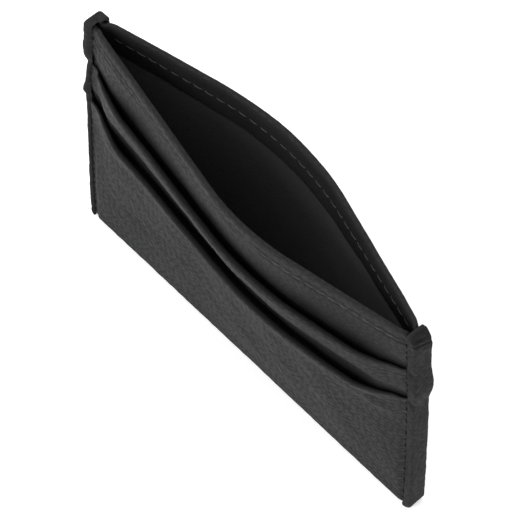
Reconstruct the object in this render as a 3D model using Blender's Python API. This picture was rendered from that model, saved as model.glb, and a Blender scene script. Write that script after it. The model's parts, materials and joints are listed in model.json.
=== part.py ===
"""A slim card holder in pebbled leather, standing on its folded bottom edge with its middle pocket open.

X runs along the width, the front faces -Y and Z is up. The origin is the middle of the bottom edge.
Lengths are in metres. Each soft piece starts as a flat blank, cut from a grid, that is given its two
faces and then folded into place by a function that says how deep each face lies in the stack.
"""
import math

import bmesh
import bpy

MM = 0.001

# The whole holder
WIDTH = 100 * MM
HEIGHT = 75 * MM
CLEARANCE = 0.2 * MM        # air between two layers that lie on each other

# The open mouth: how far each wall stands out at its ridge, and where the ridge runs
FRONT_OPENING = 8.4 * MM
BACK_OPENING = 11.2 * MM
FRONT_RIDGE = 7.2 * MM         # where the ridge meets the lip, to the right of the middle
FRONT_RIDGE_RUN = 19.8 * MM    # how much further right it would be at the bottom
FRONT_SOFTNESS = 12.3 * MM   # half the width over which the wall turns at the ridge
FRONT_SOFTNESS_RUN = 8.8 * MM
BACK_RIDGE = -1.2 * MM
BACK_SOFTNESS = 18.1 * MM
OPENING_GROWTH = 1.03        # 1 is a straight slant from the bottom to the lip
TOP_NARROWING = 1.0 * MM     # each side edge is drawn in this far at the top
TOP_TWIST = 1.75 * MM         # the right side edge leans forwards and the left one back
SEAM_GRIP = 1.0 * MM         # this far in from a side edge, the seam holds the two walls together
SEAM_GRIP_END = 4.5 * MM     # and this far in they bow freely
CORNER_RADIUS = 1.0 * MM     # the bottom corners
CORNER_RUN = 3 * MM          # how far in from the edge the layers are drawn round the corner
CORNER_PULL = 0.85           # the share of the corner's round that the layers follow at the edge

# Pockets
MIDDLE_LIP = 60.4 * MM       # height of the middle pocket's lip on its panel
OUTER_LIP = 48 * MM
HEM = 8 * MM                 # depth of a turned top edge
HEM_SLOPE = 3 * MM           # the length over which a panel steps out over its own hem
STRIP_TUCK = 4.5 * MM        # a strip runs on this far below the lip in front of it
STRIP_SLOPE = 8 * MM         # the length over which the outer panel steps out over a strip
TAIL_SLOPE = 6 * MM          # the same for a tail behind a strip
MIDDLE_GAPE = 1.75 * MM      # how far a pocket's lip hangs open at the ridge
OUTER_GAPE = 1.85 * MM

# Thicknesses in the panels
HALF_SLOT = 0.15 * MM        # half the closed middle pocket, at the side seams
HEM_STEP = 0.1 * MM          # the lining lies this far behind the hem's face
LINING = 0.2 * MM
STIFFENER = 0.25 * MM
LEATHER = 0.55 * MM
TAIL = 0.15 * MM              # the fabric tail below a pocket strip
BOTTOM_DEPTH = 2.0 * MM      # half the thickness at the bottom fold
BOTTOM_FLAT = 1.1 * MM       # half the flat that the holder stands on

# Thicknesses in the side seams, where every edge is pared down
SEAM_HALF = 46.6 * MM
PARE_RUN = 6 * MM            # every layer thins out over this width
PARE_RUN_LOW = 2 * MM        # the outer leather's face does so more steeply near the bottom
LIP_RISE = 4.5 * MM          # a lip leaves the seam over this width
CLEAR_RISE = 4.5 * MM        # a lip's end rises clear of the next pocket over this height
LINING_PARED = 0.2 * MM
LEATHER_PARED = 0.25 * MM
HEM_PARED = 0.45 * MM

# Side bindings
BINDING = 0.45 * MM
BINDING_ARM = 2.6 * MM
BINDING_ROUND = 0.9 * MM
BINDING_BULGE = 0.45 * MM    # over the outer pocket's hem
BULGE_SLOPE = 3.5 * MM
CAP = 0.5 * MM               # the fold that closes a binding over the top of the seam
CAP_HEIGHT = 4 * MM
CAP_SLOPE = 0.6 * MM
CAP_STANDS = 0.3 * MM
CAP_RIM = 0.12 * MM          # the cap's top is drawn in by this much

# Threads
THREAD = 0.3 * MM
LIP_SEAM_DROP = 3.8 * MM
LIP_SEAM_HALF = 44 * MM
SIDE_SEAM_FOOT = 3 * MM

# Depths that follow, counted from the middle of the pocket
LINING_IN = HALF_SLOT + HEM_STEP
LINING_OUT = LINING_IN + LINING
STIFFENER_IN = LINING_OUT + CLEARANCE
STIFFENER_OUT = STIFFENER_IN + STIFFENER
WALL_IN = STIFFENER_OUT + CLEARANCE
WALL_OUT = WALL_IN + LEATHER
MIDDLE_IN = WALL_OUT + CLEARANCE
MIDDLE_OUT = MIDDLE_IN + LEATHER
OUTER_IN = MIDDLE_OUT + CLEARANCE
OUTER_OUT = OUTER_IN + LEATHER
LOW_TAIL_IN = WALL_IN + TAIL + CLEARANCE
LOW_OUTER_OUT = LOW_TAIL_IN + TAIL + CLEARANCE + LEATHER
SEAM_WALL_OUT = LINING_IN + LINING_PARED + CLEARANCE + LEATHER_PARED
SEAM_OUT = SEAM_WALL_OUT + CLEARANCE + HEM_PARED
BINDING_IN = SEAM_OUT + CLEARANCE
BINDING_OUT = BINDING_IN + BINDING
EDGE_HALF = WIDTH / 2 - BINDING - CLEARANCE
ARM_TIP = WIDTH / 2 - BINDING_ARM
WALL_FOOT = MIDDLE_LIP - STRIP_TUCK
MIDDLE_FOOT = OUTER_LIP - STRIP_TUCK
LINING_TOP = HEIGHT - HEM - CLEARANCE
STIFFENER_TOP = LINING_TOP - 1 * MM
STIFFENER_FOOT = 5 * MM
STIFFENER_HALF = SEAM_HALF - PARE_RUN - 0.6 * MM
TAIL_FOOT = 15 * MM
TAIL_HALF = STIFFENER_HALF - 1 * MM
LINING_FOOT = LEATHER + 2 * CLEARANCE
CAP_TOP = HEIGHT + CLEARANCE
CAP_CEILING = CAP_TOP - CAP
SEAM_TUCK = HEIGHT - CAP_CEILING + CLEARANCE

FRONT, BACK = -1, 1

LEATHER_BLACK = (0.010, 0.010, 0.010, 1.0)
LINING_BLACK = (0.010, 0.010, 0.011, 1.0)
BOARD_GREY = (0.075, 0.072, 0.068, 1.0)
THREAD_BLACK = (0.020, 0.020, 0.021, 1.0)


def clear_scene():
    for thing in list(bpy.data.objects):
        bpy.data.objects.remove(thing, do_unlink=True)


def make_material(name, colour, roughness):
    material = bpy.data.materials.new(name)
    material.use_nodes = True
    shader = material.node_tree.nodes["Principled BSDF"]
    shader.inputs["Base Color"].default_value = colour
    shader.inputs["Roughness"].default_value = roughness
    shader.inputs["Metallic"].default_value = 0.0
    return material


# ---------------------------------------------------------------- the stack

def mix(low, high, share):
    return low + (high - low) * share


def ramp(value, start, end):
    """0 before start, 1 after end and a smooth rise between them."""
    share = min(max((value - start) / (end - start), 0.0), 1.0)
    return share * share * (3 - 2 * share)


def at_seam(u):
    """0 in the panel, 1 in a side seam, where the layers are pared down."""
    return ramp(abs(u), SEAM_HALF - PARE_RUN, SEAM_HALF)


def tent(u, ridge, softness):
    """A straight rise from both side edges to a rounded ridge, 1 high."""
    left = 1 / (WIDTH / 2 + ridge)
    right = 1 / (WIDTH / 2 - ridge)
    height = min((u + WIDTH / 2) * left, (WIDTH / 2 - u) * right)
    rounding = (left + right) * softness / 4
    near = max(1 - abs(u - ridge) / softness, 0.0)
    return (height - rounding * near * near) / (1 - rounding)


def bow(u, v, side):
    """How far a wall stands away from the middle plane, v being the distance up the panel."""
    rise = max(v, 0.0) / HEIGHT
    freed = ramp(WIDTH / 2 - abs(u), SEAM_GRIP, SEAM_GRIP_END) * rise ** OPENING_GROWTH
    if side == FRONT:
        ridge = FRONT_RIDGE + FRONT_RIDGE_RUN * (1 - rise)
        softness = FRONT_SOFTNESS + FRONT_SOFTNESS_RUN * (1 - rise)
        return FRONT_OPENING * tent(u, ridge, softness) * freed
    return BACK_OPENING * tent(u, BACK_RIDGE, BACK_SOFTNESS) * freed


def lip_gape(u):
    """How open a pocket's lip hangs: 0 in the side seams, 1 at the ridge, and soon wide between them."""
    short = 1 - tent(u, FRONT_RIDGE, FRONT_SOFTNESS)
    return (1 - short * short) * (1 - ramp(abs(u), SEAM_HALF - LIP_RISE, SEAM_HALF))


def place(u, v, depth, side):
    """The point at u across the panel and v up it, that lies depth deep in the stack."""
    out = bow(u, v, side)
    z = v - out * out / (2 * v) if v > 0 else v
    rise = max(v, 0.0) / HEIGHT
    low = min(max(v, 0.0), CORNER_RADIUS)
    corner = CORNER_RADIUS - math.sqrt(CORNER_RADIUS ** 2 - (CORNER_RADIUS - low) ** 2)
    near_corner = max((abs(u) - WIDTH / 2 + CORNER_RUN) / CORNER_RUN, 0.0) ** 2
    drawn_in = TOP_NARROWING * rise ** 2 * abs(u) / (WIDTH / 2)
    x = u - math.copysign(corner * near_corner * CORNER_PULL + drawn_in, u)
    y = side * (depth + out)
    turn = TOP_TWIST / (WIDTH / 2) * rise ** 1.5
    return (x * math.cos(turn) + y * math.sin(turn), y * math.cos(turn) - x * math.sin(turn), z)


def lining_faces(u, v):
    return LINING_IN, LINING_IN + mix(LINING, LINING_PARED, at_seam(u))


def wall_faces(u, v):
    """The wall strip: one layer of leather, and as far in as the pocket's face in its hem."""
    clear_of_middle = ramp(v, MIDDLE_LIP + 1 * MM, MIDDLE_LIP + 1 * MM + CLEAR_RISE)
    seam_out = mix(SEAM_WALL_OUT, SEAM_OUT, clear_of_middle)
    out = mix(WALL_OUT, seam_out, at_seam(u))
    if v > HEIGHT - HEM:
        return HALF_SLOT, out
    return out - mix(LEATHER, LEATHER_PARED, at_seam(u)), out


def middle_faces(u, v):
    """The middle pocket's strip, which steps out over its own hem and gapes at the lip."""
    hem_share = ramp(v, MIDDLE_LIP - HEM - 2 * MM, MIDDLE_LIP - HEM - 2 * MM + HEM_SLOPE)
    clear_of_outer = ramp(v, OUTER_LIP + 0.5 * MM, OUTER_LIP + 0.5 * MM + CLEAR_RISE)
    gape = MIDDLE_GAPE * ramp(v, OUTER_LIP, MIDDLE_LIP) * lip_gape(u)
    seam_out = mix(SEAM_WALL_OUT, SEAM_OUT, clear_of_outer)
    panel_out = MIDDLE_OUT + LEATHER * hem_share
    out = mix(panel_out, seam_out, at_seam(u)) + gape
    if v > MIDDLE_LIP - HEM:
        return out - mix(2 * LEATHER, HEM_PARED, at_seam(u)), out
    return out - mix(LEATHER, LEATHER_PARED, at_seam(u)), out


def outer_faces(u, v):
    """The outer body: slim at the bottom fold, fuller over the tails, fullest over the strips."""
    hem_share = ramp(v, OUTER_LIP - HEM - 2 * MM, OUTER_LIP - HEM - 2 * MM + HEM_SLOPE)
    over_tails = ramp(v, 2 * BOTTOM_DEPTH, TAIL_FOOT - 1 * MM)
    over_strip = ramp(v, MIDDLE_FOOT - 1 * MM - STRIP_SLOPE, MIDDLE_FOOT - 1 * MM)
    low = mix(BOTTOM_DEPTH, LOW_OUTER_OUT, over_tails)
    panel_out = mix(low, OUTER_OUT, over_strip) + LEATHER * hem_share
    gape = OUTER_GAPE * ramp(v, MIDDLE_FOOT, OUTER_LIP) * lip_gape(u)
    run = mix(PARE_RUN_LOW, PARE_RUN, ramp(v, TAIL_FOOT, OUTER_LIP - HEM))
    out = mix(panel_out, SEAM_OUT, ramp(abs(u), SEAM_HALF - run, SEAM_HALF)) + gape
    if v > OUTER_LIP - HEM:
        return out - mix(2 * LEATHER, HEM_PARED, at_seam(u)), out
    return out - mix(LEATHER, LEATHER_PARED, at_seam(u)), out


# ---------------------------------------------------------------- blanks

def spread(start, end, count):
    return [mix(start, end, i / (count - 1)) for i in range(count)]


def panel_columns(half):
    """Columns across a panel: close together where it is pared down, even in between."""
    start = SEAM_HALF - PARE_RUN
    pared = [half - 1.4 * MM] + spread(SEAM_HALF, start, 4)
    inner = spread(-start + 0.8 * PARE_RUN, start - 0.8 * PARE_RUN, 11)
    return [-half] + [-u for u in pared] + inner + pared[::-1] + [half]


def narrow_columns(half):
    """Columns across a piece that stops short of the seams."""
    return spread(-half, half, 13)


def blank(columns, rows, fold):
    """A flat blank of two faces, folded by fold(column, row, face), face 0 inside and 1 outside."""
    mesh = bmesh.new()
    across, along = len(columns) - 1, len(rows) - 1
    bmesh.ops.create_grid(mesh, x_segments=across, y_segments=along, size=1)
    raised = bmesh.ops.extrude_face_region(mesh, geom=mesh.faces[:])["geom"]
    top = [item for item in raised if isinstance(item, bmesh.types.BMVert)]
    bmesh.ops.translate(mesh, verts=top, vec=(0, 0, 1))
    corners = {}
    for vert in mesh.verts:
        i = round((vert.co.x + 1) / 2 * across)
        j = round((vert.co.y + 1) / 2 * along)
        face = round(vert.co.z)
        vert.co = fold(columns[i], rows[j], face)
        corners[i, j, face] = vert
    return mesh, corners


def finish_piece(name, mesh, material):
    bmesh.ops.recalc_face_normals(mesh, faces=mesh.faces[:])
    if mesh.calc_volume(signed=True) < 0:
        bmesh.ops.reverse_faces(mesh, faces=mesh.faces[:])
    data = bpy.data.meshes.new(name)
    mesh.to_mesh(data)
    mesh.free()
    data.materials.append(material)
    data.shade_smooth()
    data.set_sharp_from_angle(angle=math.radians(40))
    piece = bpy.data.objects.new(name, data)
    bpy.context.collection.objects.link(piece)
    return piece


def layer_fold(faces, side, tuck=0.0):
    """Folds a blank whose rows are (height, rounding) pairs into the layer that faces describes."""
    def fold(u, row, face):
        height, rounding = row
        inner, outer = faces(u, height)
        thickness = outer - inner
        depth = outer - rounding * thickness if face else inner + rounding * thickness
        lowered = tuck * at_seam(u) * ramp(height, HEIGHT - 4 * MM, HEIGHT)
        return place(u, height - lowered, depth, side)
    return fold


def lip_rows(lip):
    """The rows of a turned edge, from the top of its roll down past the step of the hem."""
    return [(lip, 0.34), (lip - 0.25 * MM, 0.12), (lip - 0.8 * MM, 0.0),
            (lip - HEM / 2, 0.0), (lip - HEM + 0.1 * MM, 0.0), (lip - HEM - 0.1 * MM, 0.0)]


# ---------------------------------------------------------------- pieces

def make_wall(name, side, material):
    """The leather strip that edges the middle pocket, with its turned lip."""
    rows = lip_rows(HEIGHT) + [(MIDDLE_LIP + 2 * MM, 0.0), (WALL_FOOT, 0.0)]
    mesh, _ = blank(panel_columns(EDGE_HALF), rows, layer_fold(wall_faces, side, SEAM_TUCK))
    return finish_piece(name, mesh, material)


def make_middle_pocket(name, side, material):
    """The leather strip of the middle card pocket."""
    rows = lip_rows(MIDDLE_LIP) + [(OUTER_LIP + 1 * MM, 0.0), (MIDDLE_FOOT, 0.0)]
    mesh, _ = blank(panel_columns(EDGE_HALF), rows, layer_fold(middle_faces, side))
    return finish_piece(name, mesh, material)


def make_outer_body(name, material):
    """One piece of leather: the front outer pocket, the fold under the bottom and the back one."""
    strip_start = MIDDLE_FOOT - 1 * MM - STRIP_SLOPE
    climb = [OUTER_LIP - HEM - HEM_SLOPE, strip_start, (strip_start + TAIL_FOOT) / 2, TAIL_FOOT,
             (TAIL_FOOT + BOTTOM_DEPTH) / 2, 2 * BOTTOM_DEPTH]
    front = [(FRONT, height, rounding, None) for height, rounding in lip_rows(OUTER_LIP)]
    front += [(FRONT, height, 0.0, None) for height in climb]
    front += [(FRONT, 0.0, 0.0, math.radians(angle)) for angle in (0, 30, 60, 90)]
    back = [(BACK, height, rounding, angle) for _, height, rounding, angle in reversed(front)]

    def fold(u, row, face):
        side, height, rounding, angle = row
        if angle is None:
            return layer_fold(outer_faces, side)(u, (height, rounding), face)
        inner, outer = outer_faces(u, 0.0)
        radius = (outer if face else inner) - BOTTOM_FLAT
        height = outer - BOTTOM_FLAT - radius * math.sin(angle)
        return place(u, height, BOTTOM_FLAT + radius * math.cos(angle), side)

    mesh, _ = blank(panel_columns(EDGE_HALF), front + back, fold)
    return finish_piece(name, mesh, material)


def make_lining(name, side, material):
    """The textile that lines one side of the middle pocket, below the hem."""
    rows = [(height, 0.0) for height in spread(LINING_TOP, LINING_FOOT, 6)]
    mesh, _ = blank(panel_columns(EDGE_HALF), rows, layer_fold(lining_faces, side))
    return finish_piece(name, mesh, material)


def make_stiffener(name, side, material):
    """The thin board that keeps one wall flat, between its lining and its pockets."""
    rows = [(height, 0.0) for height in spread(STIFFENER_TOP, STIFFENER_FOOT, 6)]
    fold = layer_fold(lambda u, v: (STIFFENER_IN, STIFFENER_OUT), side)
    mesh, _ = blank(narrow_columns(STIFFENER_HALF), rows, fold)
    return finish_piece(name, mesh, material)


def make_wall_tail(name, side, material):
    """The fabric tail below the wall strip, the back of the middle card pocket."""
    rows = [(height, 0.0) for height in spread(WALL_FOOT - CLEARANCE, TAIL_FOOT, 5)]
    fold = layer_fold(lambda u, v: (WALL_IN, WALL_IN + TAIL), side)
    mesh, _ = blank(narrow_columns(TAIL_HALF), rows, fold)
    return finish_piece(name, mesh, material)


def make_middle_tail(name, side, material):
    """The fabric tail below the middle strip, the back of the outer card pocket."""
    def faces(u, v):
        inner = mix(LOW_TAIL_IN, MIDDLE_IN, ramp(v, MIDDLE_FOOT - 1 * MM - TAIL_SLOPE, MIDDLE_FOOT - 1 * MM))
        return inner, inner + TAIL
    rows = [(height, 0.0) for height in spread(MIDDLE_FOOT - CLEARANCE, TAIL_FOOT, 6)]
    mesh, _ = blank(narrow_columns(TAIL_HALF), rows, layer_fold(faces, side))
    return finish_piece(name, mesh, material)


def binding_outline(hand):
    """Pairs of outer and inner points round the side edge, from the front arm's tip to the back's."""
    edge = WIDTH / 2
    outer, inner = [], []
    for side, angles in ((FRONT, (90, 45, 0)), (BACK, (0, 45, 90))):
        arc = [math.radians(angle) for angle in angles]
        bend_out = [(hand * (edge - BINDING_ROUND * (1 - math.cos(a))), side,
                     BINDING_OUT - BINDING_ROUND * (1 - math.sin(a))) for a in arc]
        inner_round = BINDING_ROUND - BINDING
        bend_in = [(hand * (edge - BINDING - inner_round * (1 - math.cos(a))), side,
                    BINDING_IN - inner_round * (1 - math.sin(a))) for a in arc]
        tip_out = [(hand * ARM_TIP, side, BINDING_OUT)]
        tip_in = [(hand * ARM_TIP, side, BINDING_IN)]
        outer += tip_out + bend_out if side == FRONT else bend_out + tip_out
        inner += tip_in + bend_in if side == FRONT else bend_in + tip_in
    return list(zip(outer, inner))


def binding_bulge(v):
    """The binding swells over the outer pocket's lip, and again at its folded top."""
    near_lip = 1 - ramp(abs(v - OUTER_LIP), 0, 2 * BULGE_SLOPE)
    cap = ramp(v, HEIGHT - CAP_HEIGHT - CAP_SLOPE, HEIGHT - CAP_HEIGHT)
    return BINDING_BULGE * near_lip + CAP_STANDS * cap


def make_binding(name, hand, material):
    """The leather strip wrapped round one side edge, closed over the top of the seam."""
    outline = binding_outline(hand)
    corner = [CORNER_RADIUS * (1 - math.sin(math.radians(angle))) for angle in (90, 70, 50, 25, 0)]
    bulge = [OUTER_LIP + step * BULGE_SLOPE for step in (-2, -1, 0, 1, 2)]
    cap = [HEIGHT - CAP_HEIGHT - CAP_SLOPE, HEIGHT - CAP_HEIGHT, CAP_CEILING]
    rows = corner + [OUTER_LIP / 4, OUTER_LIP / 2] + bulge + [(OUTER_LIP + HEIGHT) / 2] + cap

    def fold(pair, v, face):
        u, side, depth = pair[0] if face else pair[1]
        swell = binding_bulge(v) if face else 0.0
        return place(u, v, depth + swell * depth / BINDING_OUT, side)

    mesh, corners = blank(outline, rows, fold)
    close_cap(mesh, corners, outline, len(rows) - 1)
    return finish_piece(name, mesh, material)


def close_cap(mesh, corners, outline, last):
    """Turns the open top of a binding into a lid over the seam."""
    rim = {corners[i, last, face] for i in range(len(outline)) for face in (0, 1)}
    open_end = [face for face in mesh.faces if all(vert in rim for vert in face.verts)]
    bmesh.ops.delete(mesh, geom=open_end, context="FACES_ONLY")
    widened = 1 + (CAP_STANDS - CAP_RIM) / BINDING_OUT
    top = [mesh.verts.new(place(u, CAP_TOP, depth * widened, side)) for (u, side, depth), _ in outline]
    count = len(outline)
    for i in range(count - 1):
        mesh.faces.new((corners[i, last, 1], corners[i + 1, last, 1], top[i + 1], top[i]))
    mesh.faces.new([corners[i, last, 0] for i in range(count)])
    mesh.faces.new(top)
    front_end = [corners[0, last, 1], corners[0, last, 0]]
    back_end = [corners[count - 1, last, 0], corners[count - 1, last, 1]]
    mesh.faces.new(front_end + back_end + [top[-1], top[0]])


def make_lip_thread(name, side, outside, material):
    """One thread of the seam below a lip: the needle thread outside or the bobbin thread inside."""
    height = HEIGHT - LIP_SEAM_DROP

    def faces(u, v):
        inner, outer = wall_faces(u, height)
        near = outer + CLEARANCE if outside else inner - CLEARANCE - THREAD
        return near, near + THREAD

    rows = [(height + THREAD / 2, 0.0), (height - THREAD / 2, 0.0)]
    mesh, _ = blank(spread(-LIP_SEAM_HALF, LIP_SEAM_HALF, 15), rows, layer_fold(faces, side))
    return finish_piece(name, mesh, material)


def make_side_thread(name, side, hand, material):
    """One thread of a side seam, close beside the binding, from the bottom to the cap."""
    middle = hand * (ARM_TIP - CLEARANCE - THREAD / 2)

    def faces(u, v):
        return SEAM_OUT + CLEARANCE, SEAM_OUT + CLEARANCE + THREAD

    rows = [(height, 0.0) for height in spread(HEIGHT - CAP_HEIGHT, SIDE_SEAM_FOOT, 8)]
    columns = [middle - THREAD / 2, middle + THREAD / 2]
    mesh, _ = blank(columns, rows, layer_fold(faces, side))
    return finish_piece(name, mesh, material)


def make_card_holder():
    leather = make_material("pebbled_leather", LEATHER_BLACK, 0.55)
    lining = make_material("pocket_lining", LINING_BLACK, 0.9)
    tail = make_material("pocket_fabric", LINING_BLACK, 0.85)
    board = make_material("stiffener_board", BOARD_GREY, 0.9)
    thread = make_material("sewing_thread", THREAD_BLACK, 0.6)
    make_outer_body("outer_body", leather.copy())
    for word, side in (("front", FRONT), ("back", BACK)):
        make_wall(f"{word}_wall", side, leather.copy())
        make_middle_pocket(f"{word}_middle_pocket", side, leather.copy())
        make_lining(f"{word}_lining", side, lining.copy())
        make_stiffener(f"{word}_stiffener", side, board.copy())
        make_wall_tail(f"{word}_wall_tail", side, tail.copy())
        make_middle_tail(f"{word}_middle_pocket_tail", side, tail.copy())
        make_lip_thread(f"{word}_lip_needle_thread", side, True, thread.copy())
        make_lip_thread(f"{word}_lip_bobbin_thread", side, False, thread.copy())
        for edge, hand in (("left", -1), ("right", 1)):
            make_side_thread(f"{word}_{edge}_seam_thread", side, hand, thread.copy())
    for edge, hand in (("left", -1), ("right", 1)):
        make_binding(f"{edge}_binding", hand, leather.copy())


clear_scene()
make_card_holder()
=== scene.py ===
# %% [markdown]
# # A pebbled leather card holder
# The holder is sewn from a few thin things: one long piece of leather that is folded under the bottom,
# four short strips that edge the pockets, two bindings that wrap the sides, a cloth lining and
# the threads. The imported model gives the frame: every piece here lies where its solid lies.
# Each leather piece is bent from a flat sheet with real thickness, then a node tree presses the
# pebbles into it, and another tree sews the seams.

import json
import math

import bmesh
import bpy
import numpy as np
from mathutils import Matrix, Vector

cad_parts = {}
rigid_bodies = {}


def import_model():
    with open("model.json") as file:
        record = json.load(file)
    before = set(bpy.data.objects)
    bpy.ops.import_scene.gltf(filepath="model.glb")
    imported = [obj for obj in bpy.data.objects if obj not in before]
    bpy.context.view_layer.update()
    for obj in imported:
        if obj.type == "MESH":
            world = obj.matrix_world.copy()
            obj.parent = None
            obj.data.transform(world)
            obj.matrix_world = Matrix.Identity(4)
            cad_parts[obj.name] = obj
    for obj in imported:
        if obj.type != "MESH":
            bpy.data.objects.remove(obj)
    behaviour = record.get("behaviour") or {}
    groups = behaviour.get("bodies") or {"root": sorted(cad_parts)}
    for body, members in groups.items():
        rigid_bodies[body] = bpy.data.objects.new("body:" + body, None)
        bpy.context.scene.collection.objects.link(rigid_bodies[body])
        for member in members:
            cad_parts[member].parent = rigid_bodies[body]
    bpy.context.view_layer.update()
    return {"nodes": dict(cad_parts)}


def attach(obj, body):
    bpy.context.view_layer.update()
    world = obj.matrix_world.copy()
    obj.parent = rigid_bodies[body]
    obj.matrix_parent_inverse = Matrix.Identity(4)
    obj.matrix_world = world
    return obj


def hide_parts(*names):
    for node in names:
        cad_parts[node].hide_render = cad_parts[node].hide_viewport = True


MM = 0.001
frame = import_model()
WIDTH = 100 * MM
HEIGHT = 75 * MM

# %% [markdown]
# ## The camera
# A long lens from the front, the right and well above. A long lens keeps far edges almost as large
# as near ones, which suits a small flat object. The camera could be aimed with a constraint, but a
# plain matrix keeps it free of anything that has to be evaluated.

# %% Camera
AZIMUTH, ELEVATION, ROLL = (math.radians(angle) for angle in (47.087, 60.377, -0.319))
DISTANCE = 742.39 * MM
LENS_MM = 253.125
AIM_RIGHT, AIM_UP = -0.446 * MM, -2.332 * MM
AIM = Vector((0, 0, HEIGHT / 2))

back = Vector((math.sin(AZIMUTH) * math.cos(ELEVATION), -math.cos(AZIMUTH) * math.cos(ELEVATION),
               math.sin(ELEVATION)))
right = Vector((math.cos(AZIMUTH), math.sin(AZIMUTH), 0))
up = back.cross(right)
rolled_right = right * math.cos(ROLL) + up * math.sin(ROLL)
rolled_up = up * math.cos(ROLL) - right * math.sin(ROLL)
camera = bpy.data.objects.new("camera", bpy.data.cameras.new("camera"))
bpy.context.scene.collection.objects.link(camera)
camera.data.lens = LENS_MM
camera.data.sensor_width = 36
camera.data.clip_start, camera.data.clip_end = 0.05, 20
seat = AIM + back * DISTANCE - rolled_right * AIM_RIGHT - rolled_up * AIM_UP
camera.matrix_world = Matrix.Translation(seat) @ Matrix((rolled_right, rolled_up, back)).transposed().to_4x4()
bpy.context.scene.camera = camera
print("camera stands", round(seat.length, 3), "m away")

# %% [markdown]
# ## How the holder bends
# Every layer is described flat: u runs across the panel, v up it, and depth says how far it lies
# from the middle of the open pocket. `place` bends all of them the same way, so layers that touch
# on the flat also touch on the bent holder. This repeats the rule that shaped the solids.

# %% The opened mouth
CORNER_RADIUS, CORNER_RUN, CORNER_PULL = (1 * MM, 2.2 * MM), (3 * MM, 4 * MM), 0.85     # left, right
FOOT_SHIFT = 0.35 * MM               # the bottom stands this far to the left of the lips
TOP_NARROWING, TOP_TWIST = 1.0 * MM, 1.75 * MM
OPENING = {-1: 8.4 * MM, 1: 11.2 * MM}
OPENING_GROWTH = 1.03
FRONT_RIDGE, FRONT_RIDGE_RUN = 7.2 * MM, 19.8 * MM
FRONT_SOFTNESS, FRONT_SOFTNESS_RUN = 12.3 * MM, 8.8 * MM
BACK_RIDGE, BACK_SOFTNESS = -1.2 * MM, 18.1 * MM
SEAM_GRIP = (1.0 * MM, 4.5 * MM)     # the side seam holds the walls together this far in
FRONT, BACK = -1, 1


def mix(low, high, share):
    return low + (high - low) * share


def ramp(value, start, end):
    share = np.clip((value - start) / (end - start), 0, 1)
    return share * share * (3 - 2 * share)


def bell(value, middle, width):
    return np.exp(-((value - middle) / width) ** 2)


def tent(u, ridge, softness):
    left, right_slope = 1 / (WIDTH / 2 + ridge), 1 / (WIDTH / 2 - ridge)
    height = np.minimum((u + WIDTH / 2) * left, (WIDTH / 2 - u) * right_slope)
    rounding = (left + right_slope) * softness / 4
    near = np.maximum(1 - np.abs(u - ridge) / softness, 0)
    return (height - rounding * near * near) / (1 - rounding)


def lip_tent(u):
    return tent(u, FRONT_RIDGE, FRONT_SOFTNESS)


def lip_gape(u):
    """How open a pocket's lip hangs: 0 in the side seams, 1 at the ridge, and soon wide between them."""
    return (1 - (1 - lip_tent(u)) ** 3) * (1 - ramp(np.abs(u), SEAM_HALF - LIP_RISE, SEAM_HALF))


def bow(u, v, side):
    rise = np.maximum(v, 0) / HEIGHT
    if side == FRONT:
        shape = tent(u, FRONT_RIDGE + FRONT_RIDGE_RUN * (1 - rise),
                     FRONT_SOFTNESS + FRONT_SOFTNESS_RUN * (1 - rise))
    else:
        shape = tent(u, BACK_RIDGE, BACK_SOFTNESS)
    return OPENING[side] * shape * rise ** OPENING_GROWTH * ramp(WIDTH / 2 - np.abs(u), *SEAM_GRIP)


def settle(u, v, y, out):
    """The point at u, v and y after the wall's bow out, the bottom corners, and the twist."""
    z = v - np.where(v > 0, out * out / (2 * np.maximum(v, 0.01 * MM)), 0)
    rise = np.maximum(v, 0) / HEIGHT
    radius, run = (np.where(u < 0, *pair) for pair in (CORNER_RADIUS, CORNER_RUN))
    corner = radius - np.sqrt(radius ** 2 - (radius - np.clip(v, 0, radius)) ** 2)
    near_corner = np.maximum((np.abs(u) - WIDTH / 2 + run) / run, 0) ** 2
    drawn_in = TOP_NARROWING * rise ** 2 * np.abs(u) / (WIDTH / 2)
    x = u - np.sign(u) * (corner * near_corner * CORNER_PULL + drawn_in) - FOOT_SHIFT * (1 - rise)
    turn = TOP_TWIST / (WIDTH / 2) * rise ** 1.5
    return np.stack([x * np.cos(turn) + y * np.sin(turn), y * np.cos(turn) - x * np.sin(turn), z], -1)


def place(u, v, depth, side):
    u, v, depth = np.broadcast_arrays(u, v, depth)
    out = bow(u, v, side)
    return settle(u, v, side * (depth + out), out)


print("front lip stands out", round(1000 * float(bow(FRONT_RIDGE, HEIGHT, FRONT)), 1), "mm")

# %% [markdown]
# ## The stack of layers
# In the panels the layers have their full thickness. In the side seams a maker pares them down, or
# the edge would be far too thick to sew. `at_seam` is 0 in the panel and 1 in the seam.

# %% Layer depths
MIDDLE_LIP, OUTER_LIP, HEM = 60.4 * MM, 48 * MM, 8 * MM
MIDDLE_GAPE, OUTER_GAPE = 1.75 * MM, 1.85 * MM
LEATHER, LEATHER_PARED = 0.55 * MM, 0.25 * MM
HALF_SLOT, WALL_OUT, MIDDLE_OUT, OUTER_OUT = 0.15 * MM, 1.65 * MM, 2.4 * MM, 3.15 * MM
SEAM_WALL_OUT, SEAM_OUT = 0.9 * MM, 1.55 * MM
LOW_OUTER_OUT, BOTTOM_DEPTH, BOTTOM_FLAT = 2.35 * MM, 2.0 * MM, 1.1 * MM
SEAM_HALF, PARE_RUN, LIP_RISE = 46.6 * MM, 6 * MM, 4.5 * MM
EDGE_HALF = 49.35 * MM
ARM_TIP = 47.9 * MM
WALL_FOOT, MIDDLE_FOOT, TAIL_FOOT = 55.9 * MM, 43.5 * MM, 15 * MM
SEAM_TUCK = 0.5 * MM
LEFT_FULLER = 0.22 * MM              # the bottom fold is a little fuller towards the left
LONG_RUN = (13 * MM, 10 * MM)        # left, right
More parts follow.
